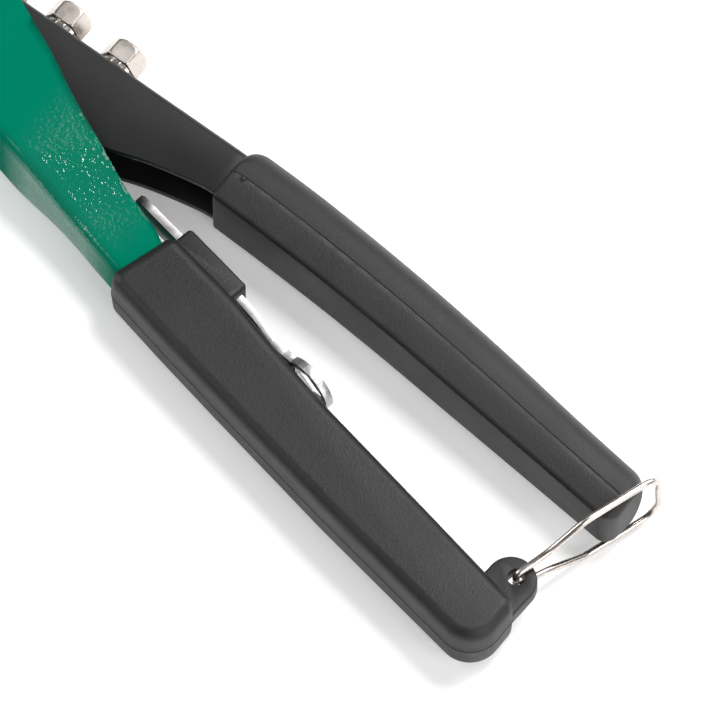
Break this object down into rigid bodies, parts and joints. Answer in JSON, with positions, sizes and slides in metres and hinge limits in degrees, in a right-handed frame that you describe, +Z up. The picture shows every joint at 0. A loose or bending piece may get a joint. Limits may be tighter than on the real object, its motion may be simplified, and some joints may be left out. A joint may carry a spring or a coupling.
{
  "type": "hand riveter",
  "caption": "Two-handed long-arm rivet tool with folded steel arms, moulded grips, latch wire, stowed spanner and spare nosepieces.",
  "frame": {"origin": "centre of the bounding box in X and Y, at its base, with the tool lying on its side", "axes": "+X along the arm from the nose to the grips, +Y the way the nose points, +Z up, square to the plane the handles move in"},
  "size_m": [0.2492, 0.095, 0.0248],
  "materials": {
    "black_paint": "satin black paint",
    "green_paint": "gloss green paint with fine orange peel",
    "grip_plastic": "fine moulded grain",
    "nickel_plate": "bright nickel plate",
    "zinc_plate": "zinc plate",
    "hardened_steel": "dark hardened steel"
  },
  "bodies": {
    "arm": {"arm_channel": "black_paint", "arm_grip": "grip_plastic", "head_sleeve": "black_paint", "nosepiece": "nickel_plate", "spare_nosepiece_1": "nickel_plate", "spare_nosepiece_2": "nickel_plate", "spare_nosepiece_3": "nickel_plate", "pivot_pin": "zinc_plate", "pivot_clip": "hardened_steel", "opening_spring": "hardened_steel"},
    "lever": {"lever_channel": "green_paint", "lever_grip": "grip_plastic", "pull_stud_upper": "zinc_plate", "pull_stud_lower": "zinc_plate"},
    "spanner": {"spanner": "zinc_plate"},
    "bail": {"wire_bail": "nickel_plate"},
    "jaw_case": {"jaw_case": "hardened_steel", "case_cap": "zinc_plate", "jaw_spring": "hardened_steel"},
    "jaw_left": {"jaw_left": "hardened_steel"},
    "jaw_right": {"jaw_right": "hardened_steel"},
    "jaw_pusher": {"jaw_pusher": "zinc_plate"}
  },
  "joints": [
    {"name": "lever_pivot", "type": "hinge", "parent": "arm", "child": "lever", "pos_m": [-0.09801, 0.01081, 0.0124], "axis": [0, 0, -1], "range_deg": [0, 27]},
    {"name": "bail_pivot", "type": "hinge", "parent": "lever", "child": "bail", "pos_m": [0.11033, -0.02369, 0.0124], "axis": [0, 0, -1], "range_deg": [-18.5, 91.5]},
    {"name": "spanner_slide", "type": "slide", "parent": "lever", "child": "spanner", "axis": [0.9825, -0.1862, 0], "range_m": [0, 0.04]},
    {"name": "jaw_case_slide", "type": "slide", "parent": "arm", "child": "jaw_case", "axis": [0, 1, 0], "range_m": [0, 0.0076]},
    {"name": "jaw_left_slide", "type": "slide", "parent": "jaw_case", "child": "jaw_left", "axis": [-0.2079, -0.9781, 0], "range_m": [0, 0.001]},
    {"name": "jaw_right_slide", "type": "slide", "parent": "jaw_case", "child": "jaw_right", "axis": [0.2079, -0.9781, 0], "range_m": [0, 0.001]},
    {"name": "pusher_slide", "type": "slide", "parent": "jaw_case", "child": "jaw_pusher", "axis": [0, -1, 0], "range_m": [0, 0.001]}
  ],
  "couplings": [
    {"joint": "jaw_case_slide", "follows": "lever_pivot", "m_per_rad": 0.016},
    {"joint": "jaw_right_slide", "follows": "jaw_left_slide", "ratio": 1},
    {"joint": "pusher_slide", "follows": "jaw_left_slide", "ratio": 0.97815}
  ]
}
